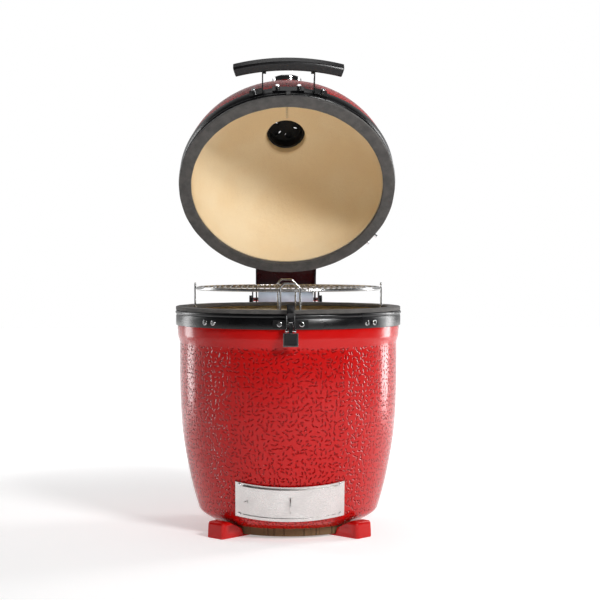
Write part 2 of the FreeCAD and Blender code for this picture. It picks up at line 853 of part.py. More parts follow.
def ash_tray():
    """Folded tray whose open front end follows the back of the rolled drawer front."""
    half = S.tray_half_width
    low = S.tray_low
    high = S.tray_low + S.tray_height
    outer = box("tray_outer", (-half, -S.rim_radius, low), (half, S.tray_back, high))
    skin = S.tray_sheet
    inner = box("tray_inner", (-half + skin, -S.rim_radius - 1, low + skin),
                (half - skin, S.tray_back - skin, high + 1))
    reach = S.rim_radius.value
    drum = cylinder("tray_drum", front_back, S.rim_radius * 2)
    drum.Placement = DRAFT.multiply(at(0, 0, -reach))
    node(common("ash_tray", cut("tray_pan", outer, inner), drum), "ash_tray")
    rails = [box("drawer_rail", (side * (half - 12) - 4, -135, S.floor_level),
                 (side * (half - 12) + 4, S.tray_back, low - S.lift_gap))
             for side in (-1, 1)]
    node(together("drawer_rails", rails), "drawer_rails")


draft_frame()
drawer_front()
draft_door()
ash_tray()


# ---------------------------------------------------------------- hinge

def strap_segment(owner, low, high, half):
    """Pads a curved strap that hugs the back of a band between two heights."""
    face = seat_radius + strap
    made = sketch(owner, "XY_Plane", low)
    outline(made, [
        (-half, (seat_radius * seat_radius - half * half).root()),
        (0, seat_radius, half, (seat_radius * seat_radius - half * half).root()),
        (half, (face * face - half * half).root()),
        (0, face, -half, (face * face - half * half).root())])
    return pad(made, size(high) - low)


def clear_of_band(owner, low, high):
    hollow = sketch(owner, "XY_Plane", size(low) - 10)
    circle(hollow, 0, 0, seat_radius)
    pocket(hollow, size(high) - low + 60, forward=True)


def hinge_brackets():
    """Two straps with plates: the base's ears outside, the lid's arms between them."""
    hub = S.barrel_radius
    low = S.rim_height - S.band_lip - S.band_height
    ears = body("hinge_base_plates")
    reach = S.ear_offset + S.hinge_plate
    side = sketch(ears, "YZ_Plane", S.ear_offset)
    outline(side, [
        (S.rim_radius - 20, low),
        (S.rim_radius + 30, low),
        (hinge_y, hinge_z - hub),
        (hinge_y + hub, hinge_z, hinge_y, hinge_z + hub),
        (hinge_y - hub, hinge_z),
        (S.rim_radius + 30, S.rim_height),
        (S.rim_radius - 20, S.rim_height),
    ])
    mirror(pad(side, S.hinge_plate))
    clear_of_band(ears, low, S.rim_height)
    strap_segment(ears, low, S.rim_height, reach)
    pin_hole = sketch(ears, "YZ_Plane")
    circle(pin_hole, hinge_y, hinge_z, S.pin_radius + S.running_gap)
    pocket(pin_hole, 4 * reach, middle=True)
    drilled("hinge_base_bracket", ears,
            base_bolts["hinge_base_bolts"][0], strap)

    high = lid_rim + S.band_lip + S.band_height
    arms = body("hinge_lid_plates")
    reach = S.arm_offset + S.hinge_plate
    side = sketch(arms, "YZ_Plane", S.arm_offset)
    outline(side, [
        (S.rim_radius - 10, lid_rim),
        (S.rim_radius + 25, lid_rim),
        (hinge_y - hub, hinge_z - hub / 2),
        (hinge_y, hinge_z - hub),
        (hinge_y + hub, hinge_z, hinge_y, hinge_z + hub),
        (S.rim_radius + 35, high),
        (S.rim_radius - 10, high),
    ])
    mirror(pad(side, S.hinge_plate))
    web = sketch(arms, "YZ_Plane")
    outline(web, [
        (S.rim_radius + 8, high - S.hinge_plate),
        (S.rim_radius + 35, high - S.hinge_plate),
        (hinge_y - 0.8 * hub, hinge_z + 1.45 * hub - S.hinge_plate),
        (hinge_y - 0.8 * hub, hinge_z + 1.45 * hub),
        (S.rim_radius + 35, high),
        (S.rim_radius + 8, high),
    ])
    pad(web, 2 * S.arm_offset + 1, middle=True)
    clear_of_band(arms, lid_rim, high)
    strap_segment(arms, lid_rim + 0.5, high, reach)
    pin_hole = sketch(arms, "YZ_Plane")
    circle(pin_hole, hinge_y, hinge_z, S.pin_radius + S.running_gap)
    pocket(pin_hole, 4 * reach, middle=True)
    drilled("lid_hinge_bracket", arms,
            lid_bolts["lid_hinge_bolts"][0], strap, LID_OPEN)


def along_pin(name, radius, start, end):
    place = at(start, hinge_y, hinge_z, V(1, 0, 0))
    return cylinder(name, radius, size(end) - start, place)


def hinge_core():
    """Pin, end nuts, the fixed barrel between the arms and the two lift springs in it."""
    end = S.ear_offset + S.hinge_plate + S.fit_gap
    nut = size(7)
    node(along_pin("hinge_pin", S.pin_radius, -(end + nut), end + nut), "hinge_pin")
    nuts = []
    for start in (-(end + nut), end):
        hexagon = doc.addObject("Part::Prism", "hinge_nut")
        hexagon.Polygon = 6
        bind(hexagon, "Circumradius", S.pin_radius * 1.9)
        bind(hexagon, "Height", nut)
        hexagon.Placement = at(start, hinge_y, hinge_z, V(1, 0, 0))
        bore = along_pin("hinge_nut_bore", S.pin_radius + S.running_gap,
                         start - 1, start + nut + 1)
        nuts.append(cut("hinge_nut_ring", hexagon, bore))
    node(together("hinge_nuts", nuts), "hinge_nuts")
    half = S.arm_offset - 3
    skin = size(2.5)
    hollow = fuse("barrel_hollow", [
        along_pin("barrel_bore", S.pin_radius + S.running_gap, -half - 1, half + 1),
        along_pin("barrel_cavity", S.barrel_radius - skin, -half + skin, half - skin)])
    drum = along_pin("barrel_drum", S.barrel_radius, -half, half)
    node(cut("hinge_barrel", drum, hollow), "hinge_barrel")
    coils = []
    for start, stop in ((-half + skin + 2, size(-4)), (size(4), half - skin - 2)):
        bore = along_pin("spring_bore", S.pin_radius + 2, start - 1, stop + 1)
        sleeve = along_pin("spring_sleeve", S.barrel_radius - 2 * skin, start, stop)
        coils.append(cut("lift_spring", sleeve, bore))
    node(together("lift_springs", coils), "lift_springs")


hinge_brackets()
hinge_core()


# ---------------------------------------------------------------- latch

pivot_y = -(band_radius + strap + 8)
pivot_z = base_bolt_level + 0.5
bail_y = pivot_y - 5
bail_z = pivot_z - 15


def flat_plate(name, level, half):
    """Flat plate across a band's front."""
    made = body(f"{name}_blank")
    face = sketch(made, "XZ_Plane", band_radius + S.fit_gap * 3)
    rectangle(face, -half, level - S.latch_height / 2, half, level + S.latch_height / 2)
    pad(face, strap - S.fit_gap * 3)
    return made


def latch():
    """Over-centre latch: plate with lugs, lever with a grip pad, and a bail with a hook."""
    plate = flat_plate("latch_plate", base_bolt_level, S.latch_half_width)
    lug = sketch(plate, "YZ_Plane", S.lever_half_width + S.fit_gap * 2)
    outline(lug, [
        (-(band_radius + 2), pivot_z - 7),
        (pivot_y - 2, pivot_z - 6),
        (pivot_y - 7, pivot_z, pivot_y - 2, pivot_z + 6),
        (-(band_radius + 2), pivot_z + 7)])
    mirror(pad(lug, 2.5))
    pin_hole = sketch(plate, "YZ_Plane")
    circle(pin_hole, pivot_y, pivot_z, 2 + S.running_gap)
    pocket(pin_hole, S.latch_half_width * 2, middle=True)
    drilled("latch_plate", plate, base_bolts["latch_bolts"][0], strap)
    half = S.lever_half_width
    reach = half + S.fit_gap * 2 + 2.8
    node(cylinder("latch_pin", 2, 2 * reach, at(-reach, pivot_y, pivot_z, V(1, 0, 0))),
         "latch_pin")

    lever = body("latch_lever")
    side = sketch(lever, "YZ_Plane")
    outline(side, [
        (pivot_y + 5, pivot_z),
        (pivot_y, pivot_z + 5, pivot_y - 5, pivot_z),
        (bail_y - 4, bail_z + 2),
        (bail_y - 4, bail_z - 30),
        (bail_y - 1, bail_z - 33),
        (pivot_y + 1, bail_z - 33),
        (pivot_y + 1, bail_z - 4),
    ])
    pad(side, 2 * half, middle=True)
    for y, z in ((pivot_y, pivot_z), (bail_y, bail_z)):
        hole = sketch(lever, "YZ_Plane")
        circle(hole, y, z, 2 + S.running_gap)
        pocket(hole, 4 * half, middle=True)
    wide = S.grip_half_width
    tray = sketch(lever, "XZ_Plane", -bail_y + 1.8)
    rectangle(tray, -wide, bail_z - 35, wide, bail_z - 4.6)
    pad(tray, 2.4)
    node(lever, "latch_lever")
    grip = body("latch_pad")
    face = sketch(grip, "XZ_Plane", -bail_y + 4.2)
    rectangle(face, 2.2 - wide, bail_z - 33, wide - 2.2, bail_z - 6.4)
    pad(face, 3.5)
    node(grip, "latch_pad")
    reach = S.bail_half_width + S.bail_wire + 1
    node(cylinder("bail_pin", 2, 2 * reach, at(-reach, bail_y, bail_z, V(1, 0, 0))),
         "bail_pin")

    width = S.bail_half_width.value
    low = bail_z.value
    depth = bail_y.value
    top = low + S.bail_length.value
    wire = rod("bail", [
        (-width, depth, low), (-width, depth, top - 26), (-width + 3, depth, top - 20),
        (width - 3, depth, top - 20), (width, depth, top - 26), (width, depth, low)],
        S.bail_wire)
    hook = box("bail_hook", (-(width - 1), depth - 1.5, top - 31), (width - 1, depth + 1.5, top))
    eyes = [cylinder("bail_eye", 4.2, 3.6, at(side * width - 1.8, depth, low, V(1, 0, 0)))
            for side in (-1, 1)]
    reach = S.bail_half_width * 2 + 10
    bores = cylinder("bail_bores", 2 + S.running_gap, 2 * reach,
                     at(-reach, bail_y, bail_z, V(1, 0, 0)))
    node(cut("latch_bail", fuse("bail_loop", wire + eyes + [hook]), bores), "latch_bail")


def keeper():
    """Lid half of the latch: a plate with a square staple for the bail's hook."""
    plate = flat_plate("latch_keeper", lid_bolt_level, S.latch_half_width - 1.5)
    tongue = sketch(plate, "XZ_Plane", lip_radius + 0.5)
    rectangle(tongue, -6.5, lid_rim - 3.5, 6.5, lid_bolt_level)
    pad(tongue, 2)
    staple = sketch(plate, "XY_Plane", lid_rim - 3.5)
    back = -(lip_radius + 0.6)
    front = back - 12
    outline(staple, [
        (-6.5, back), (-6.5, front), (6.5, front), (6.5, back),
        (4.7, back), (4.7, front + 1.8), (-4.7, front + 1.8), (-4.7, back)])
    pad(staple, 5)
    drilled("latch_keeper", plate, lid_bolts["keeper_bolts"][0], strap, LID_OPEN)


latch()
keeper()


# ---------------------------------------------------------------- lid

def dome_radius(above, inset=0):
    """Radius of the dome at a height above its rim; inset draws the inside surface."""
    top = S.dome_height - inset
    share = (above - S.dome_collar) / (top - S.dome_collar)
    n = S.dome_fullness
    return (S.rim_radius - inset) * (1 - share ** n) ** (1 / size(n))


def dome_above(radius, inset=0):
    """Height above the rim at which the dome has this radius."""
    n = S.dome_fullness
    share = (1 - (radius / (S.rim_radius - inset)) ** n) ** (1 / size(n))
    return S.dome_collar + (S.dome_height - inset - S.dome_collar) * share


def dome_side(inset, levels):
    """Points of the dome's curve as alternate arc points and corners, going up."""
    rows = [(dome_radius(S.dome_collar + (S.dome_height - inset - S.dome_collar) * level, inset),
             lid_rim + S.dome_collar + (S.dome_height - inset - S.dome_collar) * level)
            for level in levels]
    bore_via = (rows[-1][0] + S.vent_bore) / 2
    rows.append((bore_via, lid_rim + dome_above(bore_via, inset)))
    rows.append((S.vent_bore, lid_rim + dome_above(S.vent_bore, inset)))
    return [(*via, *corner) for via, corner in zip(rows[::2], rows[1::2])]


thermometer_slope = math.radians(S.thermometer_slope.value)


def thermometer_seat():
    """Where the dome's outside slopes at right angles to the thermometer's axis."""
    n = S.dome_fullness.value
    wide = S.rim_radius.value
    tall = (S.dome_height - S.dome_collar).value
    steep = (math.tan(thermometer_slope) * tall / wide) ** (1 / (n - 1))
    across = (1 + steep ** n) ** (-1 / n)
    return across * wide, steep * across * tall + S.dome_collar.value


seat_reach, seat_above = thermometer_seat()
THERMOMETER = LID_OPEN.multiply(FreeCAD.Placement(
    V(0, -seat_reach, lid_rim.value + seat_above),
    FreeCAD.Rotation(V(1, 0, 0), 90 - S.thermometer_slope.value)))


def dome():
    """Ceramic dome: straight collar, full curve, a round vent hole and a probe hole."""
    made = body("dome_shell")
    levels = (0.3, 0.56, 0.76, 0.88)
    outer = dome_side(0, levels)
    inner = dome_side(S.wall, levels)
    reverse = [(*inner[-1][2:],)]
    for later, earlier in zip(inner[::-1], inner[-2::-1]):
        reverse.append((*later[:2], *earlier[2:]))
    reverse.append((*inner[0][:2], rim_bore, lid_rim + S.dome_collar))
    outline(sketch(made, "XZ_Plane"), [
        (rim_bore, lid_rim),
        (S.rim_radius, lid_rim),
        (S.rim_radius, lid_rim + S.dome_collar),
        *outer,
        *reverse,
    ])
    revolve(made.Group[-1])
    probe = cylinder("probe_hole", S.stem_radius + 1.5, S.wall * 4)
    probe.Placement = LID_OPEN.inverse().multiply(THERMOMETER).multiply(
        at(0, 0, -2 * S.wall))
    return node(cut("lid_dome", made, probe), "lid_dome", LID_OPEN)


def handle():
    """Bowed bar held clear of the lid by two steel arms with feet on the band."""
    level = lid_rim - S.seal_thickness + S.handle_level
    out = S.rim_radius + S.handle_stand_off
    half = S.handle_section / 2
    bar = body("handle_bar")
    bevel = size(4)
    section = sketch(bar, "YZ_Plane")
    arc = S.handle_arc
    outline(section, [
        (-arc - half, bevel - half), (-arc - half, half - bevel), (-arc - half + bevel, half),
        (-arc + half - bevel, half), (-arc + half, half - bevel), (-arc + half, bevel - half),
        (-arc + half - bevel, -half), (-arc - half + bevel, -half)])
    sweep = 2 * azimuth_of(S.handle_half_length, S.handle_arc)
    revolve(section, sweep, middle=True)
    node(bar, "handle_bar", LID_OPEN.multiply(at(0, arc - out, level)))
    for name, side in (("handle_arm_left", -1), ("handle_arm_right", 1)):
        arm = body(f"{name}_blank")
        spacing = S.arm_spacing
        bar_back = -(arc * arc - spacing * spacing).root() + arc - out + half + 2.4
        low = lid_rim + S.band_lip + 1
        high = lid_rim + S.band_lip + S.band_height
        web = sketch(arm, "YZ_Plane", side * spacing - 1.5)
        outline(web, [
            (-(S.rim_radius - 20), high), (bar_back, level + half - 2),
            (bar_back, level - half + 5), (bar_back + 16, level - half + 5),
            (-(S.rim_radius + 14), low), (-(S.rim_radius - 20), low)])
        pad(web, 3)
        tab = sketch(arm, "YZ_Plane", side * spacing - (8.5 if side > 0 else 1.5))
        outline(tab, [
            (bar_back, level + half - 2), (bar_back, level - half + 5),
            (bar_back + 3, level - half + 5), (bar_back + 3, level + half - 2)])
        pad(tab, 10)
        clear_of_band(arm, low, high)
        foot_in = side * (spacing - 1.5)
        foot_out = side * (spacing + 32)
        face = seat_radius + strap
        plan = sketch(arm, "XY_Plane", low)
        middle = (foot_in + foot_out) / 2
        outline(plan, [
            (foot_in, -((seat_radius * seat_radius - foot_in * foot_in).root())),
            (middle, -((seat_radius * seat_radius - middle * middle).root()),
             foot_out, -((seat_radius * seat_radius - foot_out * foot_out).root())),
            (foot_out, -((face * face - foot_out * foot_out).root())),
            (middle, -((face * face - middle * middle).root()),
             foot_in, -((face * face - foot_in * foot_in).root()))])
        pad(plan, high - low)
        drilled(name, arm,
                lid_bolts["handle_bolts"][0], strap, LID_OPEN)


def side_plate():
    """Small plate on the lid's right rear with two studs for a side fitting."""
    made = body("side_plate_blank")
    half = size(24)
    low = lid_rim + S.band_lip + 1
    face = seat_radius + strap
    plan = sketch(made, "XY_Plane", low)
    outline(plan, [
        (-half, -((seat_radius * seat_radius - half * half).root())),
        (0, -seat_radius, half, -((seat_radius * seat_radius - half * half).root())),
        (half, -((face * face - half * half).root())),
        (0, -face, -half, -((face * face - half * half).root()))])
    pad(plan, S.band_height - 2)
    middle = sum(side_azimuths) / len(side_azimuths)
    turn = FreeCAD.Placement(V(0, 0, 0), FreeCAD.Rotation(V(0, 0, 1), middle))
    seats = places_on([azimuth - middle for azimuth in side_azimuths], face, lid_bolt_level)
    return drilled("side_plate", made, seats, strap, LID_OPEN.multiply(turn))


def thermometer():
    """Round case with dial, glass and needle; its probe passes through the dome."""
    wide = S.thermometer_radius
    stem_bore = S.stem_radius + S.fit_gap
    case = body("thermometer_case")
    outline(sketch(case, "XZ_Plane"), [
        (stem_bore, 1.5), (wide - 8, 1.5), (wide - 2, 3, wide, 9), (wide, 14),
        (wide - 0.6, 17.5, wide - 3, 19), (wide - 4.5, 19), (wide - 4.5, 17),
        (wide - 1.5, 15), (wide - 1.5, 9), (wide - 3, 4.5, wide - 8, 3), (stem_bore, 3)])
    revolve(case.Group[-1])
    node(case, "thermometer_case", THERMOMETER)
    dial = body("thermometer_dial")
    disc = sketch(dial, "XY_Plane", 10)
    circle(disc, 0, 0, wide - 1.8)
    pad(disc, 1)
    spindle = sketch(dial, "XY_Plane", 10.5)
    circle(spindle, 0, 0, 1)
    pad(spindle, 3)
    node(dial, "thermometer_dial", THERMOMETER)
    node(cylinder("thermometer_glass", wide - 1.8, 1.2), "thermometer_glass",
         THERMOMETER.multiply(at(0, 0, 13.8)))
    needle = body("thermometer_needle")
    blade = sketch(needle, "XY_Plane", 11.6)
    outline(blade, [
        (-2.4, -1.4), (0, -wide * 0.26), (2.4, -1.4), (0.4, wide * 0.72), (-0.4, wide * 0.72)])
    pad(blade, 0.8)
    hub = sketch(needle, "XY_Plane", 11.4)
    circle(hub, 0, 0, 3)
    pad(hub, 1.6)
    bore = sketch(needle, "XY_Plane", 11)
    circle(bore, 0, 0, 1 + S.running_gap)
    pocket(bore, 3, forward=True)
    node(needle, "thermometer_needle", THERMOMETER)
    node(cylinder("thermometer_stem", S.stem_radius, S.stem_length), "thermometer_stem",
         THERMOMETER.multiply(at(0, 0, 3 - S.stem_length)))
    nut = cut("thermometer_nut", cylinder("stem_nut", 9, 5),
              cylinder("stem_nut_bore", stem_bore, 5))
    node(nut, "thermometer_nut", THERMOMETER.multiply(at(0, 0, -S.wall - 7)))


def vent():
    """Top vent: collar in the dome's hole, a swinging cap and a turning petal wheel."""
    top = lid_rim + dome_above(S.vent_bore)
    neck = S.vent_bore - 1.5
    washer = body("vent_gasket")
    rectangle(sketch(washer, "XZ_Plane"), neck + 1, top, S.vent_bore + 9, top + 3)
    revolve(washer.Group[-1])
    node(washer, "vent_gasket", LID_OPEN)
    collar = body("vent_collar")
    outline(sketch(collar, "XZ_Plane"), [
        (neck - 5, top - 6), (neck, top - 6), (neck, top + 3), (S.vent_bore + 10, top + 3),
        (S.vent_bore + 10, top + 8), (neck, top + 12), (neck, top + 22), (neck - 5, top + 22)])
    revolve(collar.Group[-1])
    hinge_x = S.vent_bore + 14
    boss = sketch(collar, "XY_Plane", top + 4)
    circle(boss, hinge_x, 0, 7)
    pad(boss, 18)
    screw_hole = sketch(collar, "XY_Plane", top)
    circle(screw_hole, hinge_x, 0, 3 + S.running_gap)
    pocket(screw_hole, 30, forward=True)
    node(collar, "vent_collar", LID_OPEN)

    cap_low = top + 22.4
    cap = body("vent_cap")
    plate = sketch(cap, "XY_Plane", cap_low)
    circle(plate, 0, 0, S.vent_bore + 6)
    pad(plate, 7)
    ear = sketch(cap, "XY_Plane", cap_low)
    outline(ear, [
        (S.vent_bore - 12, -14), (hinge_x, -8), (hinge_x + 8, 0, hinge_x, 8),
        (S.vent_bore - 12, 14)])
    pad(ear, 7)
    for x, radius in ((hinge_x, 3 + S.running_gap), (size(0), 3 + S.running_gap)):
        hole = sketch(cap, "XY_Plane", cap_low - 1)
        circle(hole, x, 0, radius)
        pocket(hole, 10, forward=True)
    port = sketch(cap, "XY_Plane", cap_low - 1)
    circle(port, S.vent_bore * 0.56, 0, S.vent_bore * 0.2)
    polar(pocket(port, 10, forward=True), 5)
    node(cap, "vent_cap", LID_OPEN)

    wheel_low = cap_low + 7.4
    screw = fuse("vent_screw", [
        cylinder("vent_screw_head", 6, 4, at(hinge_x, 0, wheel_low)),
        cylinder("vent_screw_shank", 3, wheel_low - top - 4, at(hinge_x, 0, top + 4))])
    node(screw, "vent_screw", LID_OPEN)
    wheel = body("vent_wheel")
    plate = sketch(wheel, "XY_Plane", wheel_low)
    circle(plate, 0, 0, S.vent_bore - 1)
    pad(plate, 3)
    hole = sketch(wheel, "XY_Plane", wheel_low - 1)
    circle(hole, 0, 0, 3 + S.running_gap)
    pocket(hole, 6, forward=True)
    # The wheel's ports stand half a step off the cap's, so the vent starts shut.
    half_step = math.radians(36)
    port = sketch(wheel, "XY_Plane", wheel_low - 1)
    circle(port, S.vent_bore * 0.56 * math.cos(half_step),
           S.vent_bore * 0.56 * math.sin(half_step), S.vent_bore * 0.19)
    polar(pocket(port, 6, forward=True), 5)
    node(wheel, "vent_wheel", LID_OPEN)
    knob = body("vent_knob")
    outline(sketch(knob, "XZ_Plane"), [
        (0, cap_low), (3, cap_low), (3, wheel_low + 3), (7, wheel_low + 3),
        (6, wheel_low + 8), (10, wheel_low + 13), (10, wheel_low + 16), (7, wheel_low + 19),
        (0, wheel_low + 19)])
    revolve(knob.Group[-1])
    node(knob, "vent_knob", LID_OPEN)


dome()
handle()
side_plate()
thermometer()
vent()


# ---------------------------------------------------------------- checks and output

doc.recompute()
failed = [thing.Name for thing in doc.Objects
          if {"Invalid", "Error"} & set(thing.State)]
bad = [thing.Label for thing in NODES
       if thing.Shape.isNull() or not thing.Shape.isValid() or not thing.Shape.Solids]
if failed or bad:
    raise RuntimeError(f"failed features: {failed}; bad sub-parts: {bad}")

os.makedirs("parts", exist_ok=True)
for thing in NODES:
    thing.Shape.exportStep(f"parts/{thing.Label}.step")
print(len(NODES), "sub-parts written")
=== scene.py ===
import json
import math

import bmesh
import bpy
import numpy as np
from mathutils import Matrix, Vector

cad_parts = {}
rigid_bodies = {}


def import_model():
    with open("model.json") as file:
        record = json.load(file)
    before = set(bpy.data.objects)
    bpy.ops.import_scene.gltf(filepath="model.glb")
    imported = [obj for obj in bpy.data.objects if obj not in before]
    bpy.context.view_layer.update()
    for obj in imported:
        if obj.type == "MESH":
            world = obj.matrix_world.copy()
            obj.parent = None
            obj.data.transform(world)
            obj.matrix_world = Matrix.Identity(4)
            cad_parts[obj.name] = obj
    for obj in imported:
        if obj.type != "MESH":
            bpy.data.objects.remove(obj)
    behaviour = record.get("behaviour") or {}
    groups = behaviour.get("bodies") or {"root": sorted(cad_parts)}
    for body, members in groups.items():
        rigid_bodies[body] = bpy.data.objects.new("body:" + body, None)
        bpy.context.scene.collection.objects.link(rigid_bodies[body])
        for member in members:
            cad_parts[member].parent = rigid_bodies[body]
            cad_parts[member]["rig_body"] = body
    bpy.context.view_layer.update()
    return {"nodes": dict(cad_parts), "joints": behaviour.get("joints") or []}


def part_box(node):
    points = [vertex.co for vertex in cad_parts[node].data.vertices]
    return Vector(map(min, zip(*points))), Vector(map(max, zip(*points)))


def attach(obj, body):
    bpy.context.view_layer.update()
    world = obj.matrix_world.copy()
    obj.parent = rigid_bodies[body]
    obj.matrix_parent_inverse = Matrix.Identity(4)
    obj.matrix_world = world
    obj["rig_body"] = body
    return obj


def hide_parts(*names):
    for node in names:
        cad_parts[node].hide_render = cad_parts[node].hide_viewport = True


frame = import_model()


# ---------------------------------------------------------------- studio
# The grill stands on a flat sheet of pale paper in a white room. A soft light stands in front,
# to the right and above the lid, a weak one near the camera, a tall strip behind on each side
# and a weak panel overhead. The room glows where it lies behind the grill. The paper glows with
# painted light: faintly under and around the grill, and fully where it lies far behind it.

class Wire:
    """A shader socket in a sum: 1 - a, a * b and so on add the Math nodes that they need."""

    def __init__(self, tree, socket=None):
        self.tree = tree
        self.socket = socket

    def add(self, kind, settings=None, inputs=None, output=0):
        """Adds any node: its settings first, then its sockets' values or links."""
        node = self.tree.nodes.new(kind)
        for name, value in (settings or {}).items():
            setattr(node, name, value)
        for name, value in (inputs or {}).items():
            if isinstance(value, Wire):
                self.tree.links.new(value.socket, node.inputs[name])
            else:
                node.inputs[name].default_value = value
        return Wire(self.tree, node.outputs[output] if len(node.outputs) else None)

    def math(self, operation, *terms):
        terms = dict(enumerate((self, *terms)))
        return self.add("ShaderNodeMath", {"operation": operation}, terms)

    def __add__(self, other):
        return self.math("ADD", other)

    def __sub__(self, other):
        return self.math("SUBTRACT", other)

    def __mul__(self, other):
        return self.math("MULTIPLY", other)

    def __truediv__(self, other):
        return self.math("DIVIDE", other)

    def __rsub__(self, other):
        return self.math("MULTIPLY", -1) + other

    __radd__ = __add__
    __rmul__ = __mul__

    def ramp(self, low, high, start=0.0, end=1.0):
        """Smooth climb from start to end while this value goes from low to high."""
        return self.add("ShaderNodeMapRange", {"interpolation_type": "SMOOTHSTEP"}, {
            "Value": self, "From Min": low, "From Max": high, "To Min": start, "To Max": end})

    def mix(self, first, second):
        """Colour between first, at 0, and second, at 1."""
        return self.add("ShaderNodeMix", {"data_type": "RGBA"}, {
            0: self, 6: colour_of(first), 7: colour_of(second)}, 2)

    def noise(self, scale, detail=2.0, rough=0.5, stretch=None):
        """Noise over this place, finer along the axes whose stretch is larger."""
        place = self
        if stretch:
            place = self.add("ShaderNodeMapping", {}, {"Vector": self, "Scale": stretch})
        return place.add("ShaderNodeTexNoise", {}, {
            "Vector": place, "Scale": scale, "Detail": detail, "Roughness": rough})


def colour_of(value):
    return value if isinstance(value, Wire) else (*value, 1)


def linear(red, green, blue):
    """Linear light of a colour given as 0 to 255 sRGB."""
    values = np.array([red, green, blue]) / 255
    dark = values / 12.92
    return tuple(np.where(values < 0.04045, dark, ((values + 0.055) / 1.055) ** 2.4))


def new_finish(name):
    """An empty material, and the wire of its Object coordinates."""
    material = bpy.data.materials.new(name)
    material.use_nodes = True
    material.node_tree.nodes.clear()
    place = Wire(material.node_tree).add("ShaderNodeTexCoord", {}, {}, "Object")
    return material, place


def close_finish(material, colour, roughness, bumps=(), **constants):
    """Ends a material: bumps are (height, depth in metres); constants name shader sockets."""
    tree = material.node_tree
    inputs = {"Base Color": colour_of(colour), "Roughness": roughness}
    for height, depth in bumps:
        settings = {"Height": height, "Distance": depth}
        if "Normal" in inputs:
            settings["Normal"] = inputs["Normal"]
        inputs["Normal"] = Wire(tree).add("ShaderNodeBump", {}, settings)
    for name, value in constants.items():
        inputs[name.replace("_", " ").title().replace("Ior", "IOR")] = value
    shader = Wire(tree).add("ShaderNodeBsdfPrincipled", {}, inputs)
    Wire(tree).add("ShaderNodeOutputMaterial", {}, {"Surface": shader})
    return material


def plain_mesh(name, points, faces, finish, smooth_angle=35):
    """A mesh of the given points and faces, merged where they meet and smooth between edges."""
    mesh = bpy.data.meshes.new(name)
    mesh.from_pydata(points.reshape(-1, 3).tolist(), [], faces)
    work = bmesh.new()
    work.from_mesh(mesh)
    bmesh.ops.remove_doubles(work, verts=work.verts, dist=1e-6)
    bmesh.ops.recalc_face_normals(work, faces=work.faces)
    work.to_mesh(mesh)
    work.free()
    mesh.shade_smooth()
    mesh.set_sharp_from_angle(angle=math.radians(smooth_angle))
    mesh.materials.append(finish)
    piece = bpy.data.objects.new(name, mesh)
    bpy.context.scene.collection.objects.link(piece)
    return piece


def area_light(name, place, target, size_x, size_y, power):
    light = bpy.data.lights.new(name, "AREA")
    light.shape = "RECTANGLE"
    light.size = size_x
    light.size_y = size_y
    light.energy = power
    holder = bpy.data.objects.new(name, light)
    aim = Vector(target) - Vector(place)
    holder.matrix_world = (Matrix.Translation(place)
                           @ aim.to_track_quat("-Z", "Y").to_matrix().to_4x4())
    bpy.context.scene.collection.objects.link(holder)


area_light("key_light", (1.75, -2.69, 2.23), (0, 0, 0.6), 0.8, 0.8, 92)
area_light("front_fill", (0.7, -3.6, 1.1), (0, 0.1, 0.75), 0.4, 0.4, 4)
area_light("right_strip", (2.0, 1.0, 0.9), (0.1, 0, 0.5), 0.6, 1.8, 30)
area_light("left_strip", (-2.0, 1.2, 0.9), (-0.1, 0, 0.5), 0.6, 1.8, 18)
area_light("top_panel", (0, 0.3, 3.0), (0, 0, 0.9), 1.2, 0.8, 5)

room = bpy.data.worlds.new("white_room")
bpy.context.scene.world = room
room.use_nodes = True
room.node_tree.nodes.clear()
sky = Wire(room.node_tree)
seen = sky.add("ShaderNodeLightPath", {}, {}, "Is Camera Ray")
aim = sky.add("ShaderNodeTexCoord", {}, {}, "Generated")
behind = sky.add("ShaderNodeSeparateXYZ", {}, {"Vector": aim}, "Y")
glow = behind.ramp(0.1, 0.8, 0.02, 0.5)
lit = sky.add("ShaderNodeBackground", {}, {"Color": (1, 1, 1, 1), "Strength": glow})
shown = sky.add("ShaderNodeBackground", {}, {"Color": (1, 1, 1, 1), "Strength": 1.0})
either = sky.add("ShaderNodeMixShader", {}, {0: seen, 1: lit, 2: shown})
sky.add("ShaderNodeOutputWorld", {}, {"Surface": either})
bpy.context.scene.view_settings.view_transform = "Standard"

paper, paper_place = new_finish("floor_paper")
black = (0, 0, 0)
white = (1, 1, 1)
depth = paper_place.add("ShaderNodeSeparateXYZ", {}, {"Vector": paper_place}, "Y")
# Painted light: the paper glows at 0.36 of white from 1.8 m in front of the grill backwards, and
# fully white from 2 m behind it; nearer the camera it does not glow.
painted_glow_strip = depth.ramp(-2.1, -1.8)
far = depth.ramp(0.5, 2.0) * painted_glow_strip
near = painted_glow_strip * 0.36
paper_colour = paper_place.noise(3, 2).mix((0.86, 0.86, 0.86), (0.90, 0.90, 0.90))
close_finish(paper, paper_colour, 0.85, emission_strength=1.0,
             emission_color=far.mix(near.mix(black, white), white))
half_side = 9.0
corners = half_side * np.array([[-1, -1, 0], [1, -1, 0], [1, 1, 0], [-1, 1, 0]])
floor = plain_mesh("floor", corners, [[0, 1, 2, 3]], paper)

camera_distance = 3.85
camera_height = 0.674
camera_swing = math.radians(1.1)
camera_lead = math.radians(0.42)
lens = bpy.data.cameras.new("camera")
lens.lens = 96
lens.sensor_width = 36
lens.shift_y = -0.0917
camera = bpy.data.objects.new("camera", lens)
camera.location = (-camera_distance * math.sin(camera_swing),
                   -camera_distance * math.cos(camera_swing), camera_height)
camera.rotation_euler = (math.pi / 2, 0, -(camera_swing + camera_lead))
bpy.context.scene.collection.objects.link(camera)
bpy.context.scene.camera = camera


